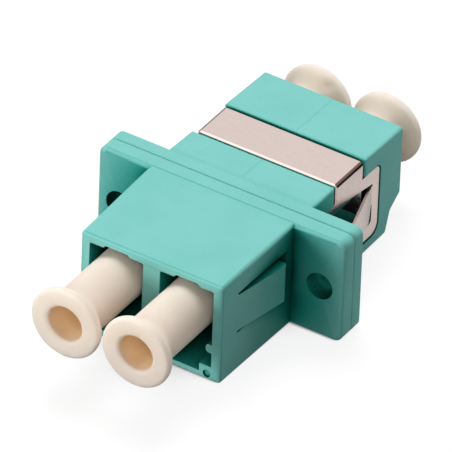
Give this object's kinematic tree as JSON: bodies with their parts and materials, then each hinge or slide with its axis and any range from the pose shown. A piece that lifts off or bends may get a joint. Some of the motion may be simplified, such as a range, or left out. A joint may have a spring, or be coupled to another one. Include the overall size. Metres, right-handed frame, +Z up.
{
  "type": "fibre optic coupler",
  "caption": "Flanged fibre coupler: a moulded body in halves with square ports at each end, snap tongues, a folded spring clip, screw ears and push-on dust caps.",
  "frame": {"origin": "on the underside, midway between the two optical axes, in the seam where the two halves meet", "axes": "+Y along the optical axes from the front half, which has the snap tongues, to the rear half, which has the clip; +Z up, away from the latch side; +X to the right seen from the front"},
  "size_m": [0.0218, 0.0355, 0.0092],
  "materials": {
    "housing": "aqua moulded plastic, fine satin",
    "clip": "rolled stainless spring steel",
    "sleeve": "white ceramic",
    "cap": "ivory soft plastic"
  },
  "bodies": {
    "coupler": {"front_housing": "housing", "rear_housing": "housing", "spring_clip": "clip", "left_sleeve": "sleeve", "right_sleeve": "sleeve"},
    "front_left_cap": {"front_left_cap": "cap"},
    "front_right_cap": {"front_right_cap": "cap"},
    "rear_left_cap": {"rear_left_cap": "cap"},
    "rear_right_cap": {"rear_right_cap": "cap"}
  },
  "joints": [
    {"name": "front_left_pull", "type": "slide", "parent": "coupler", "child": "front_left_cap", "axis": [0, -1, 0], "range_m": [-0.0005, 0.012]},
    {"name": "front_right_pull", "type": "slide", "parent": "coupler", "child": "front_right_cap", "axis": [0, -1, 0], "range_m": [-0.0005, 0.012]},
    {"name": "rear_left_pull", "type": "slide", "parent": "coupler", "child": "rear_left_cap", "axis": [0, 1, 0], "range_m": [0, 0.016]},
    {"name": "rear_right_pull", "type": "slide", "parent": "coupler", "child": "rear_right_cap", "axis": [0, 1, 0], "range_m": [0, 0.016]}
  ]
}
